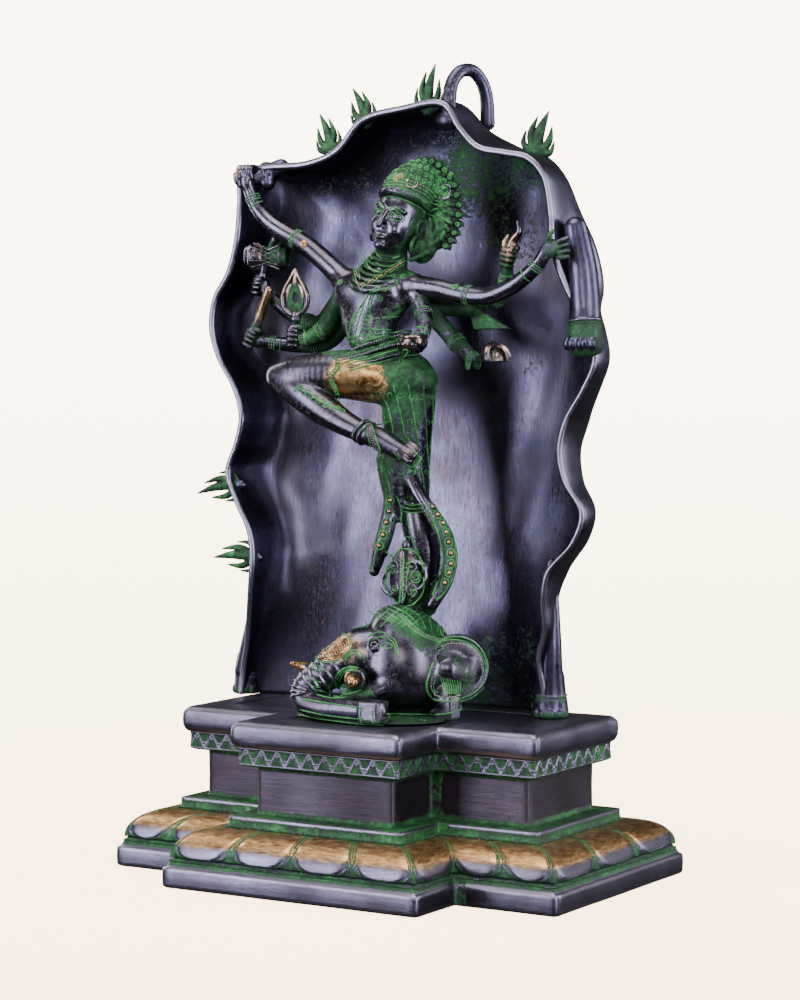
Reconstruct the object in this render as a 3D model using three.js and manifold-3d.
// A cast brass table figure in millimetres, +Z up, front toward -Y, origin at the middle of
// the underside. A dancing eight-armed deity stands on an elephant's head inside the raised,
// wavy-edged hide of that elephant, on a stepped lotus pedestal with a centred projection.
import * as THREE from 'three';
import { mergeVertices } from 'three/addons/utils/BufferGeometryUtils.js';
import Module from 'manifold-3d';

const wasm = await Module();
wasm.setup();

// Driving dimensions.
const GAP = 0.3;                 // clearance between separate castings
const BASE_TOP = 77.7;           // height of the pedestal
const SLAB_HALF = 98.4;          // half width of the top slab
const SLAB_BACK = 57;
const WING_FRONT = -22.9;
const PROJ_HALF = 46;            // half width of the centred projection
const PROJ_FRONT = -57;
const STEP_OUT = 24.3;           // how far the bottom slab stands out of the top slab
const CORNER_R = 2.6;
const LOTUS_LOW = 14.6;
const LOTUS_HIGH = 27.5;
const LOTUS_OUT = 21.4;
const LOTUS_IN = 2;
const RIM_Y = 14.1;              // plane of the hide's front rim
const RIM_FOOT_BACK = 14;        // how far the rim runs back at its feet
const HIDE_BACK = 56;            // inner face of the hide's back wall
const HIDE_WALL = 1.7;           // half of the hide's wall thickness
const FAN_Z = 262;               // height of the centre of the hide's dome
const HIDE_LOW = BASE_TOP + GAP;

const V = (x, y, z) => new THREE.Vector3(x, y, z);
const P = (a) => new THREE.Vector3(a[0], a[1], a[2]);
const UP = V(0, 1, 0);

// Booleans on closed three.js geometry.
function solid(geometry) {
  const g = geometry.clone();
  g.deleteAttribute('normal');
  g.deleteAttribute('uv');
  const m = mergeVertices(g, 1e-4);
  const mesh = new wasm.Mesh({
    numProp: 3,
    vertProperties: new Float32Array(m.attributes.position.array),
    triVerts: new Uint32Array(m.index.array),
  });
  return new wasm.Manifold(mesh);
}

function unite(list) {
  let rest = list.map((g) => (g.isBufferGeometry ? solid(g) : g));
  while (rest.length > 1) {
    const next = [];
    for (let i = 0; i < rest.length; i += 2) {
      next.push(i + 1 < rest.length ? rest[i].add(rest[i + 1]) : rest[i]);
    }
    rest = next;
  }
  return rest[0];
}

function geometryOf(manifold) {
  const m = manifold.getMesh();
  const g = new THREE.BufferGeometry();
  const n = m.numProp;
  const pos = new Float32Array((m.vertProperties.length / n) * 3);
  for (let i = 0; i < pos.length / 3; i += 1) {
    pos[3 * i] = m.vertProperties[n * i];
    pos[3 * i + 1] = m.vertProperties[n * i + 1];
    pos[3 * i + 2] = m.vertProperties[n * i + 2];
  }
  g.setAttribute('position', new THREE.BufferAttribute(pos, 3));
  g.setIndex(new THREE.BufferAttribute(new Uint32Array(m.triVerts), 1));
  g.computeVertexNormals();
  return g;
}

// Turns geometry so that its own Y runs along a direction, then moves it.
function aim(geometry, direction, at, twist = 0) {
  const q = new THREE.Quaternion().setFromUnitVectors(UP, direction.clone().normalize());
  q.multiply(new THREE.Quaternion().setFromAxisAngle(UP, twist));
  geometry.applyQuaternion(q);
  geometry.translate(at.x, at.y, at.z);
  return geometry;
}

// A tapered limb with rounded ends.
function limb(a, b, ra, rb, sides = 6) {
  const from = P(a);
  const way = P(b).sub(from);
  const long = way.length();
  const thin = Math.max(ra, rb) < 6.8;
  const outline = thin ? [[0, -ra * 0.8], [ra, 0]] : [[0, -ra], [ra * 0.72, -ra * 0.68], [ra, 0]];
  if (thin) outline.push([rb, long], [0, long + rb * 0.8]);
  else outline.push([rb, long], [rb * 0.72, long + rb * 0.68], [0, long + rb]);
  const g = new THREE.LatheGeometry(outline.map((p) => new THREE.Vector2(p[0], p[1])), sides);
  return aim(g, way, from, 0.2);
}

// One skin around a bent limb: a ring at each point, and a blunt tip at both ends.
function sweep(points, radii, sides = 6) {
  const pts = points.map(P);
  const n = pts.length;
  const way = pts.map((p, i) => pts[Math.min(i + 1, n - 1)].clone().sub(pts[Math.max(i - 1, 0)]).normalize());
  const pos = [];
  const across = V(0.3, 0.9, 0.2).cross(way[0]).normalize();
  pts.forEach((p, i) => {
    across.sub(way[i].clone().multiplyScalar(across.dot(way[i]))).normalize();
    const other = way[i].clone().cross(across);
    for (let k = 0; k < sides; k += 1) {
      const t = (2 * Math.PI * k) / sides;
      const c = radii[i] * Math.cos(t);
      const d = radii[i] * Math.sin(t);
      pos.push(p.x + across.x * c + other.x * d, p.y + across.y * c + other.y * d, p.z + across.z * c + other.z * d);
    }
  });
  const start = pts[0].clone().sub(way[0].clone().multiplyScalar(radii[0] * 0.75));
  const end = pts[n - 1].clone().add(way[n - 1].clone().multiplyScalar(radii[n - 1] * 0.75));
  pos.push(start.x, start.y, start.z, end.x, end.y, end.z);
  const idx = [];
  for (let k = 0; k < sides; k += 1) {
    const m = (k + 1) % sides;
    idx.push(n * sides, m, k, n * sides + 1, (n - 1) * sides + k, (n - 1) * sides + m);
    for (let i = 0; i + 1 < n; i += 1) {
      const a = i * sides;
      idx.push(a + k, a + m, a + sides + m, a + k, a + sides + m, a + sides + k);
    }
  }
  const g = new THREE.BufferGeometry();
  g.setAttribute('position', new THREE.Float32BufferAttribute(pos, 3));
  g.setIndex(idx);
  return g;
}

// An ellipsoid whose third half-length points along a direction.
function blob(at, size, direction = [0, 0, 1], w = 8, h = 5) {
  const g = new THREE.SphereGeometry(1, w, h);
  g.scale(size[0], size[2], size[1]);
  return aim(g, P(direction), P(at));
}

function ring(at, direction, radius, tube, turns = 8) {
  const g = new THREE.TorusGeometry(radius, tube, 3, turns);
  g.rotateX(Math.PI / 2);
  return aim(g, P(direction), P(at));
}

// A plain band around a limb.
function band(at, direction, radius, wide, sides = 7) {
  return aim(new THREE.CylinderGeometry(radius, radius, wide, sides), P(direction), P(at), 0.3);
}

function spike(at, direction, radius, length, sides = 5) {
  const g = new THREE.ConeGeometry(radius, length, sides);
  g.translate(0, length / 2, 0);
  return aim(g, P(direction), P(at));
}

// A level oval ring of a torso.
function oval(t, count) {
  const line = [];
  for (let i = 0; i < count; i += 1) {
    const a = (2 * Math.PI * i) / count;
    line.push([t[0] + t[3] * Math.cos(a), t[1] + t[4] * Math.sin(a), t[2]]);
  }
  return line;
}

// Rings of equal point count joined into one closed skin with flat ends.
function loft(rings) {
  const n = rings[0].length;
  const pos = [];
  rings.forEach((r) => r.forEach((p) => pos.push(p[0], p[1], p[2])));
  const idx = [];
  for (let k = 0; k + 1 < rings.length; k += 1) {
    for (let i = 0; i < n; i += 1) {
      const j = (i + 1) % n;
      const a = k * n + i;
      const b = k * n + j;
      idx.push(a, b, b + n, a, b + n, a + n);
    }
  }
  const flat = (r) => THREE.ShapeUtils.triangulateShape(r.map((p) => new THREE.Vector2(p[0], p[1])), []);
  const last = (rings.length - 1) * n;
  flat(rings[0]).forEach((t) => idx.push(t[2], t[1], t[0]));
  flat(rings[rings.length - 1]).forEach((t) => idx.push(last + t[0], last + t[1], last + t[2]));
  const g = new THREE.BufferGeometry();
  g.setAttribute('position', new THREE.Float32BufferAttribute(pos, 3));
  g.setIndex(idx);
  return g;
}

// Plan of the pedestal, counter-clockwise from above: corner and its outward mitre.
const PLAN = [
  { at: [-SLAB_HALF, WING_FRONT], out: [-1, -1], round: true },
  { at: [-PROJ_HALF, WING_FRONT], out: [-1, -1], round: false },
  { at: [-PROJ_HALF, PROJ_FRONT], out: [-1, -1], round: true },
  { at: [PROJ_HALF, PROJ_FRONT], out: [1, -1], round: true },
  { at: [PROJ_HALF, WING_FRONT], out: [1, -1], round: false },
  { at: [SLAB_HALF, WING_FRONT], out: [1, -1], round: true },
  { at: [SLAB_HALF, SLAB_BACK], out: [1, 1], round: true },
  { at: [-SLAB_HALF, SLAB_BACK], out: [-1, 1], round: true },
];

function cornerAt(c, d) {
  return [c.at[0] + c.out[0] * d, c.at[1] + c.out[1] * d];
}

function planRing(d, z) {
  const ringPoints = [];
  PLAN.forEach((c, i) => {
    const here = cornerAt(c, d);
    if (!c.round) {
      ringPoints.push([here[0], here[1], z]);
      return;
    }
    const before = cornerAt(PLAN[(i + 7) % 8], d);
    const after = cornerAt(PLAN[(i + 1) % 8], d);
    const a = new THREE.Vector2(before[0] - here[0], before[1] - here[1]).normalize();
    const b = new THREE.Vector2(after[0] - here[0], after[1] - here[1]).normalize();
    [[1, 0], [0.3, 0.3], [0, 1]].forEach((w) => {
      const x = here[0] + CORNER_R * (a.x * w[0] + b.x * w[1]);
      const y = here[1] + CORNER_R * (a.y * w[0] + b.y * w[1]);
      ringPoints.push([x, y, z]);
    });
  });
  return ringPoints;
}

function pedestal() {
  const profile = [
    [0, 23.6], [1.2, 24.3], [9.8, 24.3], [11, 22.8], [14.4, 20.6], [14.5, 16],
    [26.5, 2], [28, 1.8], [32.3, 1.6], [33, 0.8], [33.1, -8], [56.2, -8], [56.3, -2.6],
    [57.2, -1.6], [64.8, -1.6], [65.5, -0.2], [67.5, 0.8], [75, 0.8], [BASE_TOP, -1.6],
  ];
  const body = loft(profile.map((p) => planRing(p[1], p[0])));
  // Lotus course: a convex moulding whose petals swell between narrow valleys.
  const counts = [2, 1, 4, 1, 2, 3, 5, 3];
  const rings = [];
  for (let k = 0; k <= 4; k += 1) {
    const a = (k / 4) * Math.PI * 0.5;
    const d = LOTUS_IN + (LOTUS_OUT - LOTUS_IN) * Math.cos(a) ** 0.8;
    const z = LOTUS_LOW + (LOTUS_HIGH - LOTUS_LOW) * Math.sin(a);
    const line = [];
    PLAN.forEach((c, i) => {
      const n = PLAN[(i + 1) % 8];
      const p = cornerAt(c, d);
      const q = cornerAt(n, d);
      const along = new THREE.Vector2(q[0] - p[0], q[1] - p[1]).normalize();
      const m = counts[i];
      for (let j = 0; j < m; j += 1) {
        [0, 0.22, 0.78].forEach((f) => {
          const swell = f === 0 ? 0 : 1.2;
          const t = (j + f) / m;
          const s = swell * Math.cos(a * 0.8);
          line.push([p[0] + (q[0] - p[0]) * t + along.y * s, p[1] + (q[1] - p[1]) * t - along.x * s, z]);
        });
      }
    });
    rings.push(line);
  }
  const lotus = loft(rings);
  // Frieze of raised triangles under the top slab, on the front and the sides.
  const teeth = [];
  PLAN.forEach((c, i) => {
    const p = cornerAt(c, -1.6);
    const q = cornerAt(PLAN[(i + 1) % 8], -1.6);
    const way = V(q[0] - p[0], q[1] - p[1], 0);
    const long = way.length();
    const count = i === 6 ? 0 : Math.max(2, Math.round(long / 15));
    way.normalize();
    const out = V(way.y, -way.x, 0);
    for (let j = 0; j < count; j += 1) {
      const t = ((j + 0.5) / count) * long;
      const g = new THREE.CylinderGeometry(4.2, 4.2, 2, 3);
      g.scale(1.35, 1, 1);
      const m = new THREE.Matrix4().makeBasis(way, out, V(0, 0, -1).multiplyScalar(-1));
      g.applyMatrix4(m);
      if (m.determinant() < 0) {
        const index = g.index.array;
        for (let f = 0; f < index.length; f += 3) {
          const keep = index[f];
          index[f] = index[f + 1];
          index[f + 1] = keep;
        }
      }
      g.translate(p[0] + way.x * t, p[1] + way.y * t, 60);
      teeth.push(g);
    }
  });
  return unite([body, lotus, ...teeth]);
}

// The hide's outlines: half widths at even heights from the foot up to the dome's centre,
// first of the wavy front rim, then of the wall behind it, on the left and on the right.
const RIM_LEFT = [100, 97.3, 92.7, 88.7, 85.3, 83.1, 85.2, 92.7, 97.8, 92.5, 89.4, 93.8, 102.7, 107.2];
const WALL_LEFT = [92, 90, 86, 83, 84, 86, 90, 95, 96, 93, 91, 95, 99, 101];
const RIM_RIGHT = [76, 74.8, 74, 79.6, 80.8, 84.2, 97.3, 102, 93.3, 90.1, 93.3, 102.1, 108.5, 105.8];
const WALL_RIGHT = [85, 82.5, 80.1, 78.1, 80.3, 88.5, 96.2, 96, 91.3, 90.3, 94.4, 95.6, 95.2, 96];
// The dome from the left side over the top to the right side: rim x and z, wall x and z.
const DOME = [
  [-107.2, 262, -101, 262], [-105.3, 276.8, -104, 278], [-97, 290, -103, 293], [-92, 306, -99, 307],
  [-90, 323.6, -91, 328], [-88.3, 339, -86, 343], [-75, 341.6, -74, 347], [-50, 342.7, -50, 348],
  [-33, 348.5, -34, 354], [-18.5, 362.5, -20, 366], [4, 367.3, 4, 369.5], [27, 368.7, 25, 369.5],
  [36, 357, 37, 362], [46, 347.8, 48, 357], [61, 344.6, 61, 350], [73, 341.9, 72, 345],
  [81.5, 333, 80, 336], [85, 317, 90, 320], [86.5, 300, 99, 303], [94, 281, 103.5, 281], [105.8, 262, 96, 262],
];

function hideColumns(split) {
  const rows = [];
  const side = RIM_LEFT.length - 1;
  const heightOf = (k) => HIDE_LOW + ((FAN_Z - HIDE_LOW) * k) / side;
  for (let k = 0; k < side; k += 1) rows.push([-RIM_LEFT[k], heightOf(k), -WALL_LEFT[k], heightOf(k), heightOf(k)]);
  DOME.forEach((d) => rows.push([d[0], d[1], d[2], d[3], FAN_Z]));
  for (let k = side - 1; k >= 0; k -= 1) rows.push([RIM_RIGHT[k], heightOf(k), WALL_RIGHT[k], heightOf(k), heightOf(k)]);
  const rim = new THREE.CatmullRomCurve3(rows.map((r) => V(r[0], 0, r[1])), false, 'centripetal');
  const wall = new THREE.CatmullRomCurve3(rows.map((r) => V(r[2], 0, r[3])), false, 'centripetal');
  const columns = [];
  const last = rows.length - 1;
  for (let i = 0; i <= last * split; i += 1) {
    const u = i / split;
    const k = Math.min(Math.floor(u), last - 1);
    const f = u - k;
    const centre = rows[k][4] + (rows[k + 1][4] - rows[k][4]) * f;
    const r = rim.getPoint(u / last);
    const w = wall.getPoint(u / last);
    if (centre < FAN_Z) {
      r.z = centre;
      w.z = centre;
    }
    columns.push({ rim: r, wall: w, centre });
  }
  return columns;
}

function ease(t) {
  const k = Math.min(Math.max(t, 0), 1);
  return k * k * (3 - 2 * k);
}

function rimDepth(z) {
  return RIM_Y + RIM_FOOT_BACK * ease((150 - z) / 70);
}

// One column of the shell at an angle from the rim (0) to the middle of the back (PI / 2).
function hidePoint(column, angle, offset, outward) {
  const k = ease(angle / 0.6);
  const ox = column.rim.x + (column.wall.x - column.rim.x) * k + outward.x * offset;
  const oz = column.rim.z + (column.wall.z - column.rim.z) * k + outward.z * offset;
  const power = 2 / (3 + Math.min(Math.max((column.centre - 150) / 80, 0), 1));
  const front = rimDepth(column.rim.z);
  const back = 53 + 3 * Math.min(Math.max((column.centre - 150) / 50, 0), 1);
  const c = Math.max(Math.cos(angle), 0) ** power;
  const s = Math.sin(angle) ** power;
  const x = ox * c;
  const z = column.centre + (oz - column.centre) * c;
  return [x, front + (back + offset - front) * s, z];
}

function hideShell(split, layers) {
  const columns = hideColumns(split);
  const n = columns.length;
  const pos = [];
  const outwardOf = (i) => {
    if (columns[i].centre < FAN_Z) return V(Math.sign(columns[i].rim.x), 0, 0);
    const a = columns[Math.max(i - 1, 0)].rim;
    const b = columns[Math.min(i + 1, n - 1)].rim;
    return V(-(b.z - a.z), 0, b.x - a.x).normalize();
  };
  const addRow = (angle, offset) => {
    columns.forEach((c, i) => pos.push(...hidePoint(c, angle, offset, outwardOf(i))));
  };
  const angles = [];
  for (let j = 0; j <= layers; j += 1) angles.push((Math.PI / 2) * (j / layers) ** 0.9);
  for (let j = layers; j >= 0; j -= 1) addRow(angles[j], -HIDE_WALL);
  columns.forEach((c, i) => {
    const p = hidePoint(c, 0, 0, outwardOf(i));
    pos.push(p[0], p[1] - HIDE_WALL * 0.8, p[2]);
  });
  for (let j = 0; j <= layers; j += 1) addRow(angles[j], HIDE_WALL);
  const rows = 2 * layers + 3;
  const idx = [];
  for (let j = 0; j + 1 < rows; j += 1) {
    for (let i = 0; i + 1 < n; i += 1) {
      const a = j * n + i;
      idx.push(a, a + n, a + 1, a + 1, a + n, a + n + 1);
    }
  }
  // The wall's two underside strips close the left and right feet.
  for (let j = 0; j < layers; j += 1) {
    const a = j;
    const b = rows - 1 - j;
    [0, n - 1].forEach((c, side) => {
      const quad = [a * n + c, (a + 1) * n + c, (b - 1) * n + c, b * n + c];
      if (side === 0) idx.push(quad[0], quad[2], quad[1], quad[0], quad[3], quad[2]);
      else idx.push(quad[0], quad[1], quad[2], quad[0], quad[2], quad[3]);
    });
  }
  [0, n - 1].forEach((c, side) => {
    const t = [layers * n + c, (layers + 1) * n + c, (layers + 2) * n + c];
    if (side === 0) idx.push(t[0], t[2], t[1]);
    else idx.push(t[0], t[1], t[2]);
  });
  const g = new THREE.BufferGeometry();
  g.setAttribute('position', new THREE.Float32BufferAttribute(pos, 3));
  g.setIndex(idx);
  const m = mergeVertices(g, 1e-3);
  // Triangles that closed up to a line at the middle of the back are dropped.
  const keep = [];
  const ia = m.index.array;
  for (let f = 0; f < ia.length; f += 3) {
    if (ia[f] !== ia[f + 1] && ia[f + 1] !== ia[f + 2] && ia[f] !== ia[f + 2]) keep.push(ia[f], ia[f + 2], ia[f + 1]);
  }
  m.setIndex(keep);
  return m;
}

// A leaf-shaped flame with a leaning tip and side lobes, standing on the hide's outer face.
function flame(root, tip, lean, wide) {
  const foot = P(root);
  const way = P(tip).sub(foot);
  const long = way.length();
  way.normalize();
  const side = V(way.z, 0, -way.x).multiplyScalar(lean);
  const face = new THREE.Vector3().crossVectors(way, side).normalize();
  const outline = new THREE.Shape();
  const line = [
    [-0.34, -0.15], [-0.42, 0.2], [-0.3, 0.62], [0, 1], [0.06, 0.66], [0.2, 0.82], [0.3, 0.5],
    [0.46, 0.52], [0.46, 0.16], [0.34, -0.15],
  ];
  line.forEach((p, i) => {
    if (i === 0) outline.moveTo(p[0] * wide, p[1] * long);
    else outline.lineTo(p[0] * wide, p[1] * long);
  });
  const g = new THREE.ExtrudeGeometry(outline, { depth: 4, bevelEnabled: false });
  g.translate(0, 0, -2);
  const m = new THREE.Matrix4().makeBasis(side, way, face);
  g.applyMatrix4(m);
  if (m.determinant() < 0) {
    const ng = g.index ? g.toNonIndexed() : g;
    const a = ng.attributes.position.array;
    for (let f = 0; f < a.length; f += 9) {
      for (let k = 0; k < 3; k += 1) {
        const keep = a[f + 3 + k];
        a[f + 3 + k] = a[f + 6 + k];
        a[f + 6 + k] = keep;
      }
    }
    ng.translate(foot.x, foot.y, foot.z);
    return ng;
  }
  g.translate(foot.x, foot.y, foot.z);
  return g;
}

function hide() {
  const parts = [hideShell(2, 3)];
  // Hind legs: the rim's two feet on the slab.
  parts.push(sweep([[79, 26, 150], [78, 29, 118], [75, 33, 86]], [3, 5, 7], 7));
  parts.push(sweep([[-86, 24, 140], [-96, 30, 110], [-101, 33, 86]], [2.5, 3.5, 5.2], 7));
  const hoof = (x, y, r) => {
    const line = [[0, 0], [r * 1.18, 0], [r * 1.1, 4], [r * 0.86, 12], [0, 12]];
    const g = new THREE.LatheGeometry(line.map((p) => new THREE.Vector2(p[0], p[1])), 8);
    g.rotateX(Math.PI / 2);
    g.translate(x, y, HIDE_LOW);
    return g;
  };
  parts.push(hoof(75, 34, 8), hoof(-101, 35, 6.2));
  // Fore legs: one hangs down on the right, the other ends at the upper left corner.
  parts.push(sweep([[94, 22, 307], [99, 19.5, 290], [102, 17.5, 268]], [6.4, 7.4, 6.4], 8));
  const sole = new THREE.CylinderGeometry(7.2, 9, 12, 10);
  parts.push(aim(sole, V(-0.12, 0.1, 1), V(103.5, 14.5, 259)));
  const cuff = new THREE.CylinderGeometry(4.4, 5.4, 13, 8);
  parts.push(aim(cuff, V(-0.25, 0.1, 1), V(-75.5, 17, 335)));
  // Tail, curled into a loop over the crest.
  parts.push(sweep([[28, 18, 362], [27.4, 19, 372], [27.6, 22, 380], [29.2, 27, 385.4], [32, 33, 385.6], [34, 38, 381],
    [35, 41, 374], [35, 42.5, 361]], [3.4, 3.4, 3.4, 3.4, 3.3, 3.3, 3.3, 3.3], 6));
  parts.push(flame([-95, 18, 184.5], [-118, 17, 181], 1, 15));
  parts.push(flame([-85, 18, 148.8], [-108, 17, 149], 1, 15));
  parts.push(flame([-40.5, 20, 350], [-44.5, 20, 367], 1, 14));
  parts.push(flame([-20.5, 20, 363], [-25.3, 20, 378.5], 1, 14));
  parts.push(flame([14.5, 21, 368], [17.3, 21, 388.5], -1, 15));
  parts.push(flame([68, 31, 346], [72.5, 31, 364], -1, 17));
  return unite(parts);
}

// The deity and the elephant's head, one casting. Joint places in millimetres.
// Torso from hips to neck: x, y and z of the middle, half width, half depth.
const TORSO = [
  [8, 13, 229, 7, 7], [7.5, 13, 234, 14, 11], [6, 13, 242, 16.5, 12.4], [2, 12.5, 249, 14.4, 11.4],
  [-3.5, 12, 258, 10.8, 9.6], [-5, 12, 266, 13, 10.4], [-5, 12, 275, 18, 11.8], [-4, 12, 282, 20.5, 10.8],
  [-3, 11.6, 288, 13.5, 8.6], [-1, 11, 292, 7, 6.8], [2.5, 10, 304, 6, 6],
];
const HEAD = [6.2, 8, 315.5];
const FACE_UP = [0.27, 0.03, 0.96];
const SHOULDER_R = [-22, 12, 283];
const SHOULDER_L = [18, 12, 282];
const ARMS = [
  { path: [SHOULDER_R, [-73, 12, 315], [-81, 10.5, 325.5], [-82.5, 9.3, 333]], r: [5.4, 4.3, 3.7, 3.4] },
  { path: [SHOULDER_L, [57.5, 6.5, 275.5], [83.5, 7, 293]], r: [5.4, 4.4, 3.6] },
  { path: [[-22, 19, 280], [-57, 24, 272], [-78.5, 17, 283]], r: [5, 3.8, 3.2] },
  { path: [[-20, 20, 277], [-46, 25, 256], [-79, 13, 257.5]], r: [4.8, 4.2, 3] },
  { path: [[-20, 16, 275], [-40, 19, 260.5], [-55, 11, 258.5]], r: [4.8, 4, 3] },
  { path: [[18, 20, 279], [51, 23, 277], [59, 19, 292]], r: [5, 3.8, 3] },
  { path: [[15, 10, 276], [21.5, 6, 268], [22.6, 1, 259]], r: [4.8, 4, 3] },
  { path: [[15, 20, 273], [27, 24, 257], [45, 17, 246]], r: [4.8, 4, 3.2] },
];
const BENT_LEG = [[4, 7, 238], [-45, -5.5, 239.8], [-28, -9, 225.5], [5, -12, 211.5]];
const STANDING_LEG = [[8, 14, 236], [7.5, 13.5, 208], [12.7, 12, 178], [17.5, 13, 157], [19, 12.5, 134]];
const SKULL = [17, -3, 103];
const FACING = [-0.74, -0.67, 0];

function deity() {
  const parts = [];
  parts.push(loft(TORSO.map((t) => oval(t, 11))));
  // Collar and belts.
  parts.push(aim(new THREE.CylinderGeometry(9.5, 16, 6, 12), V(0.1, -0.28, 1), V(-3.5, 8.5, 287.5)));
  parts.push(band([-4, 12, 257], [-0.28, 0, 1], 11.6, 3, 10), band([2, 12.5, 249], [-0.3, 0, 1], 14.6, 4, 10));
  // Head, nose, ears and headdress.
  parts.push(blob(HEAD, [11.3, 11.8, 14.2], FACE_UP, 10, 7));
  parts.push(spike([1.6, -1.6, 319.5], [-0.25, -0.35, -1], 2.4, 6, 4));
  parts.push(ring([10.6, 10, 327.5], [0.35, 0.2, 0.92], 11.4, 2, 11));
  parts.push(blob([15, 14, 331], [12, 11, 14.5], [0.32, 0.1, 0.94], 10, 6));
  parts.push(aim(new THREE.CylinderGeometry(18.2, 17, 5, 11), V(0.12, -0.97, 0.08), V(20, 18.5, 323.5)));
  parts.push(blob([13, 17, 304], [9, 6.5, 13], [-0.15, 0.1, 1]));
  for (let i = 0; i < 6; i += 1) {
    const t = -0.6 + i * 0.56;
    const out = [Math.cos(t), 0.1, Math.sin(t)];
    parts.push(spike([20 + 15.5 * out[0], 18.5, 323.5 + 15.5 * out[2]], out, 3.4, 6, 4));
  }
  parts.push(ring([16.6, 7.6, 310.5], [0.8, -0.5, 0.1], 3.4, 1.3, 7));
  // Eight arms with their bands.
  ARMS.forEach((a) => parts.push(sweep(a.path, a.r, 6)));
  parts.push(band([-50, 12, 300.6], [-0.84, 0, 0.53], 6, 2.4), band([37.7, 9.2, 278.8], [1, -0.14, -0.17], 6, 2.4));
  parts.push(band([-79.6, 10.8, 323], [-0.6, -0.1, 0.8], 4.9, 2.4), band([80, 7, 290.2], [0.83, 0, 0.56], 5, 2.4));
  // Main hands: the left one of the photo closed on the corner, the other laid on the rim.
  parts.push(blob([-82.5, 8.9, 334], [4.2, 4, 7.2], [-0.05, 0, 1], 6, 4), blob([89.5, 7.8, 297.5], [3.8, 3.8, 6], [0.8, 0, 0.6], 6, 4));
  for (let i = 0; i < 4; i += 1) {
    const a = [90.5 + 0.9 * i, 8.8, 300.8 - 2.1 * i];
    parts.push(spike(a, [5.6, 0.8, 2.2 - 0.6 * i], 1.5, 7.4, 4));
  }
  // Hands and attributes on the photo's left: drum, rod, looped emblem.
  parts.push(blob([-79, 16.5, 283.5], [4.6, 4, 5], [0, 0, 1], 6, 4), limb([-76.5, 14.5, 287], [-73.5, 15, 296], 2.4, 2.2, 6));
  const drum = [[0, -8], [6.6, -7.6], [3, 0], [6.6, 7.6], [0, 8]];
  const drumBody = new THREE.LatheGeometry(drum.map((p) => new THREE.Vector2(p[0], p[1])), 9);
  parts.push(aim(drumBody, V(0.96, 0.24, -0.02), V(-74, 15, 298)));
  parts.push(limb([-73, 15, 301], [-69.6, 15, 306.5], 2.2, 1.8, 6));
  parts.push(blob([-80, 12.2, 257], [4.8, 4, 5], [0, 0, 1], 6, 4), limb([-81, 12, 259], [-70.5, 11, 282], 2.6, 2.1, 6));
  parts.push(blob([-55.3, 10, 258.5], [4.6, 4, 5], [0, 0, 1], 6, 4), limb([-55, 9.8, 262], [-54, 9.2, 270], 2.2, 1.8, 6));
  parts.push(spike([-53.7, 9, 266], [0.05, 0, 1], 2, 24, 5));
  [-1, 1].forEach((s) => {
    const x = -53.7;
    parts.push(sweep([[x, 9, 269], [x + s * 5.4, 9, 273], [x + s * 6, 9, 279.5], [x + s * 1, 9, 287.5]], [1.6, 1.6, 1.6, 1.2], 4));
  });
  // Hands and attributes on the photo's right: small flame, skull bowl, shell.
  parts.push(blob([60, 18.3, 296], [4.4, 4, 5.4], [0.2, 0, 1], 6, 4));
  parts.push(sweep([[61.5, 18, 299], [64.5, 18, 305], [66.4, 18, 312]], [2.8, 1.9, 0.9], 5));
  parts.push(blob([22.8, -1, 257.2], [4.6, 4, 4.2], [0, 0, 1], 6, 4));
  const bowl = [[0, -2], [5, -0.8], [6.6, 4], [4.8, 4], [0, 1]];
  const bowlBody = new THREE.LatheGeometry(bowl.map((p) => new THREE.Vector2(p[0], p[1])), 8);
  parts.push(aim(bowlBody, V(0.05, -0.1, 1), V(22, -4, 256.5)));
  parts.push(blob([47, 15.5, 245.5], [4.6, 4, 5], [1, 0, 0], 6, 4), blob([54, 12, 246.5], [5.4, 4.6, 8.6], [0.9, -0.3, 0.35], 7, 5));
  // Scarf end blown out behind the right arms.
  const scarf = new THREE.Shape([[0, 0], [22, -3], [20.5, -13.5]].map((p) => new THREE.Vector2(p[0], p[1])));
  const scarfBody = new THREE.ExtrudeGeometry(scarf, { depth: 2.4, bevelEnabled: false });
  scarfBody.rotateX(Math.PI / 2);
  scarfBody.translate(34, 26.5, 274.5);
  parts.push(limb([15, 22, 274], [38, 25.5, 272.5], 4, 2.6, 6), scarfBody);
  // Legs, band, anklet and feet.
  parts.push(limb(BENT_LEG[0], BENT_LEG[1], 12.2, 7, 10));
  parts.push(sweep([[-44, -6.5, 236.5], BENT_LEG[2], BENT_LEG[3]], [7.4, 7.4, 4.6], 8));
  parts.push(sweep([[7.5, -13.5, 209.5], [20, -16.5, 206.5], [30.5, -19.5, 203]], [5, 5, 4.2], 7));
  for (let i = 0; i < 4; i += 1) {
    parts.push(spike([30.5 - i * 0.7, -19.6 - i * 0.6, 206 - i * 2.3], [4.6 - i * 0.9, -1.6, -2.8], 1.9, 6.4, 4));
  }
  parts.push(band([-1.5, -11.6, 213.6], [0.85, -0.1, -0.48], 6.6, 3));
  parts.push(sweep(STANDING_LEG, [12.5, 11, 6.6, 7.6, 5.6], 8));
  parts.push(band([12.6, 12.2, 179.5], [0.05, 0, 1], 8.2, 3, 9));
  parts.push(limb([19, 10, 131], [20, -4, 128.5], 5, 4, 8));
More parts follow.
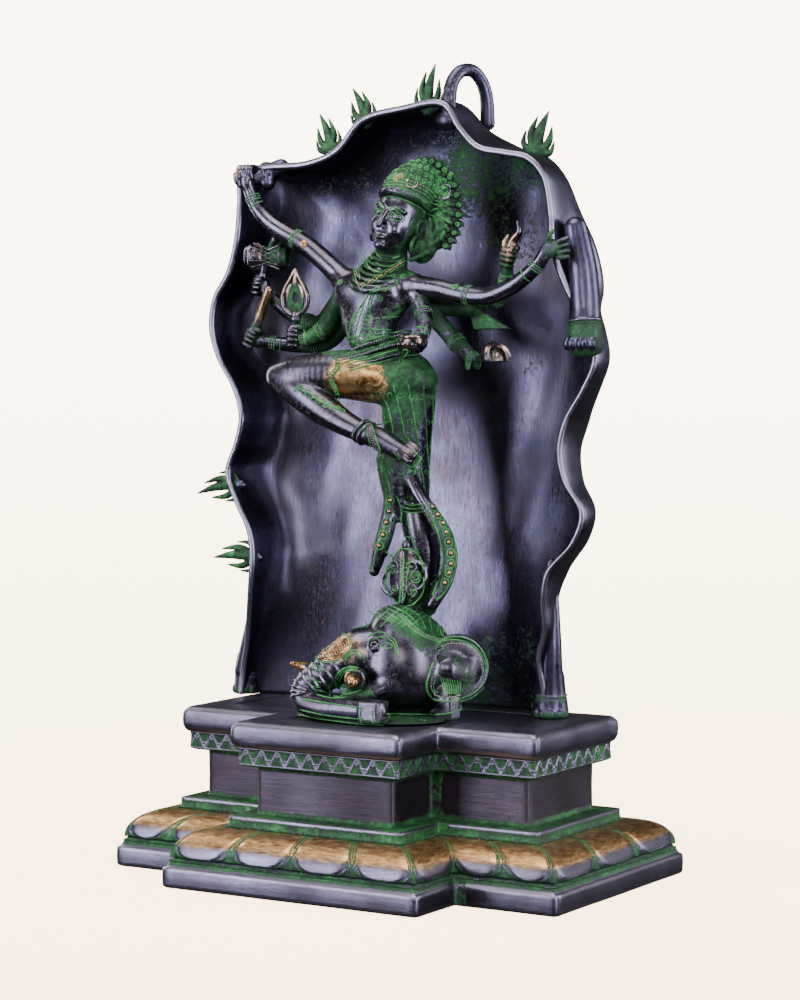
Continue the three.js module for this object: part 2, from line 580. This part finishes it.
  // Sash ends and the oval boss.
  parts.push(sweep([[0.5, 2.5, 200], [4.7, 2.5, 181], [2.5, 1, 163], [-2.2, -1, 146.5]], [3.2, 3, 4.2, 2.4], 6));
  parts.push(sweep([[12, 4, 196], [20.4, 3, 184], [29.1, 4.5, 171.8], [35.6, 6, 158], [36, 5, 146], [29, 1, 132]], [3, 3.2, 3.5, 3.6, 3.6, 3.2], 6));
  parts.push(blob([18, -3.5, 144.5], [9.4, 5.4, 14.6], [-0.05, 0.05, 1], 10, 7));
  parts.push(spike([8, 4, 200], [0.1, 0.1, -1], 9, 30, 6));
  return parts;
}

function elephantHead() {
  const parts = [];
  const f = P(FACING).normalize();
  const s = V(-f.y, f.x, 0);
  const at = (along, side, up) => [
    SKULL[0] + f.x * along + s.x * side,
    SKULL[1] + f.y * along + s.y * side,
    SKULL[2] + up,
  ];
  const dir = (along, side, up) => [f.x * along + s.x * side, f.y * along + s.y * side, up];
  parts.push(blob(at(0, 0, 0), [25, 24, 26], dir(1, 0, 0.05), 11, 8), blob(at(-2, 0, 6), [20, 20, 21], [0, 0, 1], 9, 6));
  parts.push(blob(at(20, 0, 4), [13, 14, 15], dir(1, 0, -0.5), 9, 6));
  // Trunk: down from the face, then curled along the ground.
  parts.push(sweep([[-1, -18, 109], [-12, -27, 100], [-20.5, -32, 92], [-20, -34, 86.5], [-13, -35.5, 84.6],
    [4, -36.5, 84.4], [20.5, -36.5, 84.4]], [9, 8, 6.6, 5.8, 5.4, 5.2, 5.2], 8));
  parts.push(limb([2, -24, 96], [2, -29, 88], 7, 5, 8), limb([22, -20, 95], [10, -26, 90], 10, 7, 8));
  // Tusk stubs in their sockets.
  parts.push(ring([6.4, -32, 98.5], [0.3, -0.95, -0.1], 4.4, 1.5, 9), limb([5, -28, 99], [7.6, -36, 97.6], 3.4, 3, 8));
  parts.push(limb([-10, -14, 99], [-39.5, -15, 101], 5.5, 1.6, 7));
  // Ears: rimmed fans either side of the skull.
  const ear = (c, n) => {
    const fan = [[0, -2.4], [14, -2.6], [15.8, 0], [14.2, 2.4], [11.8, 1.4], [0, 3]];
    const g = new THREE.LatheGeometry(fan.map((p) => new THREE.Vector2(p[0], p[1])), 10);
    parts.push(aim(g, P(n), P(c)));
  };
  ear([43, -1, 103], [0.62, -0.78, 0.08]);
  ear([-1, 17, 104], [-0.9, 0.42, 0.08]);
  // Forefoot below the ear, and the low ground ledge.
  const foot = new THREE.BoxGeometry(9.5, 8, 12);
  foot.translate(43, -8, 85);
  parts.push(foot, limb([36, -2, 95], [42, -7, 88], 6, 4.5, 7));
  const ledge = new THREE.Shape();
  ledge.absellipse(4, -12, 40, 27, 0, 2 * Math.PI, false, -0.12);
  const plate = new THREE.ExtrudeGeometry(ledge, { depth: 2.4, bevelEnabled: false, curveSegments: 12 });
  plate.translate(0, 0, HIDE_LOW);
  parts.push(plate);
  return parts;
}

function paint(hex, roughness, metalness) {
  return new THREE.MeshStandardMaterial({ color: hex, roughness, metalness });
}

const statue = new THREE.Group();
const add = (name, manifold, material) => {
  const mesh = new THREE.Mesh(geometryOf(manifold), material);
  mesh.name = name;
  statue.add(mesh);
};

add('pedestal', pedestal(), paint(0x3a3238, 0.42, 0.85));
add('elephant_hide', hide(), paint(0x2b2a35, 0.3, 0.9));
add('deity_on_elephant_head', unite([...deity(), ...elephantHead()]), paint(0x2f3a2c, 0.38, 0.85));

export default statue;
